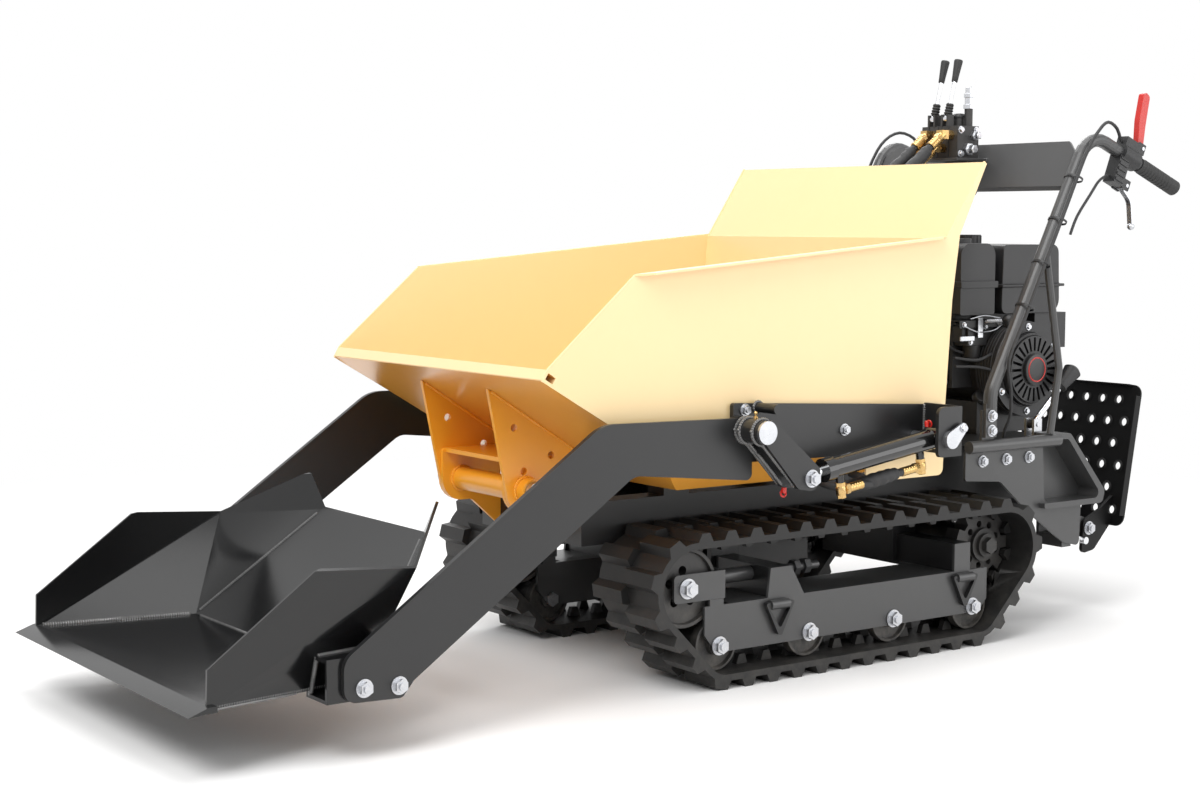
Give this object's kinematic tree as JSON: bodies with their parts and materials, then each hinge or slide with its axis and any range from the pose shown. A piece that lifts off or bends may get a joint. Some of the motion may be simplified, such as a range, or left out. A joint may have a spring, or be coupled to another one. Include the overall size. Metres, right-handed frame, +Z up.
{
  "type": "tracked power carrier",
  "caption": "Self-loading tracked mini dumper with rubber tracks, a tipping hopper, a front loader bucket on hydraulic arms, a petrol engine, handlebars and a folding rear platform.",
  "frame": {"origin": "on the ground, under the middle of the machine's box", "axes": "-Y forward to the bucket, +Y back to the handlebars, +X to the machine's left, +Z up"},
  "size_m": [0.9612, 2.367, 1.207],
  "materials": {
    "yellow_paint": "glossy golden-yellow paint",
    "black_paint": "satin black paint",
    "bucket_paint": "glossy black paint",
    "track_rubber": "matt black rubber",
    "grip_rubber": "matt black rubber",
    "hose_rubber": "black hose with a woven sleeve",
    "zinc": "bright zinc plate",
    "gold_zinc": "yellow zinc plate",
    "chrome": "polished hard chrome",
    "cast_black": "black painted casting",
    "black_plastic": "textured black plastic",
    "red_plastic": "glossy red plastic",
    "wheel_iron": "black painted cast iron"
  },
  "bodies": {
    "chassis": {"main_frame": "black_paint", "track_frames": "black_paint", "track_belt_left": "track_rubber", "track_belt_right": "track_rubber", "gearbox": "cast_black", "engine": "cast_black", "fuel_tank": "black_plastic", "air_filter": "black_plastic", "recoil_cover": "black_plastic", "handlebars": "black_paint", "control_panel": "black_paint", "hand_grips": "grip_rubber", "lever_mounts": "black_plastic", "rear_guard": "black_paint", "valve_block": "wheel_iron", "hose_fittings": "gold_zinc", "hydraulic_hoses": "hose_rubber", "control_cables": "hose_rubber", "chassis_bolts": "zinc", "hinge_bracket": "yellow_paint"},
    "hopper": {"hopper": "yellow_paint", "hopper_frame": "yellow_paint", "loader_plates": "black_paint", "hopper_bolts": "zinc"},
    "loader": {"loader_arm_left": "black_paint", "loader_arm_right": "black_paint", "loader_bucket": "bucket_paint", "loader_bolts": "zinc"},
    "lift_barrel_left": {"lift_barrel_left": "black_paint"},
    "lift_barrel_right": {"lift_barrel_right": "black_paint"},
    "lift_rod_left": {"lift_rod_left": "chrome"},
    "lift_rod_right": {"lift_rod_right": "chrome"},
    "tip_barrel": {"tip_barrel": "black_paint"},
    "tip_rod": {"tip_rod": "chrome"},
    "sprocket_left": {"sprocket_left": "wheel_iron"},
    "sprocket_right": {"sprocket_right": "wheel_iron"},
    "idler_left": {"idler_left": "wheel_iron"},
    "idler_right": {"idler_right": "wheel_iron"},
    "valve_lever_lift": {"valve_lever_lift": "chrome"},
    "valve_lever_tip": {"valve_lever_tip": "chrome"},
    "clutch_lever": {"clutch_lever": "red_plastic"},
    "steering_lever_left": {"steering_lever_left": "zinc"},
    "steering_lever_right": {"steering_lever_right": "zinc"},
    "gear_lever": {"gear_lever": "black_plastic"},
    "platform": {"platform": "black_paint"},
    "strut_tube": {"strut_tube": "black_paint"},
    "strut_rod": {"strut_rod": "chrome"},
    "tie_ring_left_front": {"tie_ring_left_front": "black_paint"},
    "tie_ring_left_rear": {"tie_ring_left_rear": "black_paint"},
    "tie_ring_right_front": {"tie_ring_right_front": "black_paint"},
    "tie_ring_right_rear": {"tie_ring_right_rear": "black_paint"},
    "fuel_cap": {"fuel_cap": "black_plastic"},
    "road_wheel_left_1": {"road_wheel_left_1": "wheel_iron"},
    "road_wheel_left_2": {"road_wheel_left_2": "wheel_iron"},
    "road_wheel_left_3": {"road_wheel_left_3": "wheel_iron"},
    "road_wheel_left_4": {"road_wheel_left_4": "wheel_iron"},
    "road_wheel_right_1": {"road_wheel_right_1": "wheel_iron"},
    "road_wheel_right_2": {"road_wheel_right_2": "wheel_iron"},
    "road_wheel_right_3": {"road_wheel_right_3": "wheel_iron"},
    "road_wheel_right_4": {"road_wheel_right_4": "wheel_iron"}
  },
  "joints": [
    {"name": "hopper_tip", "type": "hinge", "parent": "chassis", "child": "hopper", "pos_m": [0, -0.40448, 0.36], "axis": [1, 0, 0], "range_deg": [0, 50]},
    {"name": "loader_lift", "type": "hinge", "parent": "hopper", "child": "loader", "pos_m": [0, -0.12648, 0.48], "axis": [-1, 0, 0], "range_deg": [-5, 100]},
    {"name": "tip_swing", "type": "hinge", "parent": "chassis", "child": "tip_barrel", "pos_m": [0, 0.02352, 0.12], "axis": [1, 0, 0], "range_deg": [-14, 2]},
    {"name": "tip_extend", "type": "slide", "parent": "tip_barrel", "child": "tip_rod", "axis": [0, -0.7234, 0.6905], "range_m": [-0.005, 0.173]},
    {"name": "lift_swing_left", "type": "hinge", "parent": "hopper", "child": "lift_barrel_left", "pos_m": [0.4363, 0.31952, 0.441], "axis": [1, 0, 0], "range_deg": [-4, 2]},
    {"name": "lift_extend_left", "type": "slide", "parent": "lift_barrel_left", "child": "lift_rod_left", "axis": [0, -0.9892, -0.1463], "range_m": [-0.015, 0.223]},
    {"name": "sprocket_left_spin", "type": "hinge", "parent": "chassis", "child": "sprocket_left", "pos_m": [0.273, 0.60602, 0.19], "axis": [1, 0, 0], "continuous": true},
    {"name": "idler_left_spin", "type": "hinge", "parent": "chassis", "child": "idler_left", "pos_m": [0.273, -0.19898, 0.19], "axis": [1, 0, 0], "continuous": true},
    {"name": "road_wheel_left_1_spin", "type": "hinge", "parent": "chassis", "child": "road_wheel_left_1", "pos_m": [0.273, -0.12498, 0.0768], "axis": [1, 0, 0], "continuous": true},
    {"name": "road_wheel_left_2_spin", "type": "hinge", "parent": "chassis", "child": "road_wheel_left_2", "pos_m": [0.273, 0.09402, 0.0768], "axis": [1, 0, 0], "continuous": true},
    {"name": "road_wheel_left_3_spin", "type": "hinge", "parent": "chassis", "child": "road_wheel_left_3", "pos_m": [0.273, 0.31302, 0.0768], "axis": [1, 0, 0], "continuous": true},
    {"name": "road_wheel_left_4_spin", "type": "hinge", "parent": "chassis", "child": "road_wheel_left_4", "pos_m": [0.273, 0.53202, 0.0768], "axis": [1, 0, 0], "continuous": true},
    {"name": "tie_ring_left_front_swing", "type": "hinge", "parent": "chassis", "child": "tie_ring_left_front", "pos_m": [0.343, 0.01352, 0.14], "axis": [0, -1, 0], "range_deg": [0, 100]},
    {"name": "tie_ring_left_rear_swing", "type": "hinge", "parent": "chassis", "child": "tie_ring_left_rear", "pos_m": [0.343, 0.50352, 0.14], "axis": [0, -1, 0], "range_deg": [0, 100]},
    {"name": "lift_swing_right", "type": "hinge", "parent": "hopper", "child": "lift_barrel_right", "pos_m": [-0.4363, 0.31952, 0.441], "axis": [1, 0, 0], "range_deg": [-4, 2]},
    {"name": "lift_extend_right", "type": "slide", "parent": "lift_barrel_right", "child": "lift_rod_right", "axis": [0, -0.9892, -0.1463], "range_m": [-0.015, 0.223]},
    {"name": "sprocket_right_spin", "type": "hinge", "parent": "chassis", "child": "sprocket_right", "pos_m": [-0.273, 0.60602, 0.19], "axis": [1, 0, 0], "continuous": true},
    {"name": "idler_right_spin", "type": "hinge", "parent": "chassis", "child": "idler_right", "pos_m": [-0.273, -0.19898, 0.19], "axis": [1, 0, 0], "continuous": true},
    {"name": "road_wheel_right_1_spin", "type": "hinge", "parent": "chassis", "child": "road_wheel_right_1", "pos_m": [-0.273, -0.12498, 0.0768], "axis": [1, 0, 0], "continuous": true},
    {"name": "road_wheel_right_2_spin", "type": "hinge", "parent": "chassis", "child": "road_wheel_right_2", "pos_m": [-0.273, 0.09402, 0.0768], "axis": [1, 0, 0], "continuous": true},
    {"name": "road_wheel_right_3_spin", "type": "hinge", "parent": "chassis", "child": "road_wheel_right_3", "pos_m": [-0.273, 0.31302, 0.0768], "axis": [1, 0, 0], "continuous": true},
    {"name": "road_wheel_right_4_spin", "type": "hinge", "parent": "chassis", "child": "road_wheel_right_4", "pos_m": [-0.273, 0.53202, 0.0768], "axis": [1, 0, 0], "continuous": true},
    {"name": "tie_ring_right_front_swing", "type": "hinge", "parent": "chassis", "child": "tie_ring_right_front", "pos_m": [-0.343, 0.01352, 0.14], "axis": [0, 1, 0], "range_deg": [0, 100]},
    {"name": "tie_ring_right_rear_swing", "type": "hinge", "parent": "chassis", "child": "tie_ring_right_rear", "pos_m": [-0.343, 0.50352, 0.14], "axis": [0, 1, 0], "range_deg": [0, 100]},
    {"name": "clutch_press", "type": "hinge", "parent": "chassis", "child": "clutch_lever", "pos_m": [0.3, 1.05225, 1.00863], "axis": [-1, 0, 0], "range_deg": [0, 70], "stiffness_Nm_per_rad": 0.6, "springref_deg": -22.92},
    {"name": "steering_pull_left", "type": "hinge", "parent": "chassis", "child": "steering_lever_left", "pos_m": [0.3, 1.00295, 0.92932], "axis": [1, 0, 0], "range_deg": [0, 26], "stiffness_Nm_per_rad": 0.6, "springref_deg": -22.92},
    {"name": "steering_pull_right", "type": "hinge", "parent": "chassis", "child": "steering_lever_right", "pos_m": [-0.3, 1.00295, 0.92932], "axis": [1, 0, 0], "range_deg": [0, 26], "stiffness_Nm_per_rad": 0.6, "springref_deg": -22.92},
    {"name": "lift_valve_tilt", "type": "hinge", "parent": "chassis", "child": "valve_lever_lift", "pos_m": [-0.045, 0.78552, 1.077], "axis": [1, 0, 0], "range_deg": [-16, 16], "stiffness_Nm_per_rad": 6},
    {"name": "tip_valve_tilt", "type": "hinge", "parent": "chassis", "child": "valve_lever_tip", "pos_m": [-0.005, 0.78552, 1.077], "axis": [1, 0, 0], "range_deg": [-16, 16], "stiffness_Nm_per_rad": 6},
    {"name": "gear_shift", "type": "hinge", "parent": "chassis", "child": "gear_lever", "pos_m": [0.232, 0.81852, 0.422], "axis": [1, 0, 0], "range_deg": [-12, 12]},
    {"name": "platform_fold", "type": "hinge", "parent": "chassis", "child": "platform", "pos_m": [0, 1.00552, 0.181], "axis": [-1, 0, 0], "range_deg": [0, 75]},
    {"name": "strut_swing", "type": "hinge", "parent": "chassis", "child": "strut_tube", "pos_m": [0.2366, 0.87752, 0.205], "axis": [1, 0, 0], "range_deg": [-2, 21]},
    {"name": "strut_slide", "type": "slide", "parent": "strut_tube", "child": "strut_rod", "axis": [0, 0.9107, -0.4132], "range_m": [-0.023, 0.004]},
    {"name": "fuel_cap_turn", "type": "hinge", "parent": "chassis", "child": "fuel_cap", "pos_m": [-0.04, 0.89352, 0.803], "axis": [0, 0, 1], "range_deg": [0, 90]}
  ],
  "couplings": [
    {"joint": "tip_swing", "follows": "hopper_tip", "ratio": -0.21619},
    {"joint": "tip_extend", "follows": "hopper_tip", "m_per_rad": 0.18658},
    {"joint": "lift_swing_left", "follows": "loader_lift", "ratio": -0.030468},
    {"joint": "lift_extend_left", "follows": "loader_lift", "m_per_rad": 0.12213},
    {"joint": "idler_left_spin", "follows": "sprocket_left_spin", "ratio": 1},
    {"joint": "road_wheel_left_1_spin", "follows": "sprocket_left_spin", "ratio": 1.5328},
    {"joint": "road_wheel_left_2_spin", "follows": "sprocket_left_spin", "ratio": 1.5328},
    {"joint": "road_wheel_left_3_spin", "follows": "sprocket_left_spin", "ratio": 1.5328},
    {"joint": "road_wheel_left_4_spin", "follows": "sprocket_left_spin", "ratio": 1.5328},
    {"joint": "lift_swing_right", "follows": "loader_lift", "ratio": -0.030468},
    {"joint": "lift_extend_right", "follows": "loader_lift", "m_per_rad": 0.12213},
    {"joint": "idler_right_spin", "follows": "sprocket_right_spin", "ratio": 1},
    {"joint": "road_wheel_right_1_spin", "follows": "sprocket_right_spin", "ratio": 1.5328},
    {"joint": "road_wheel_right_2_spin", "follows": "sprocket_right_spin", "ratio": 1.5328},
    {"joint": "road_wheel_right_3_spin", "follows": "sprocket_right_spin", "ratio": 1.5328},
    {"joint": "road_wheel_right_4_spin", "follows": "sprocket_right_spin", "ratio": 1.5328},
    {"joint": "strut_swing", "follows": "platform_fold", "ratio": 0.23941},
    {"joint": "strut_slide", "follows": "platform_fold", "m_per_rad": -0.014738}
  ]
}
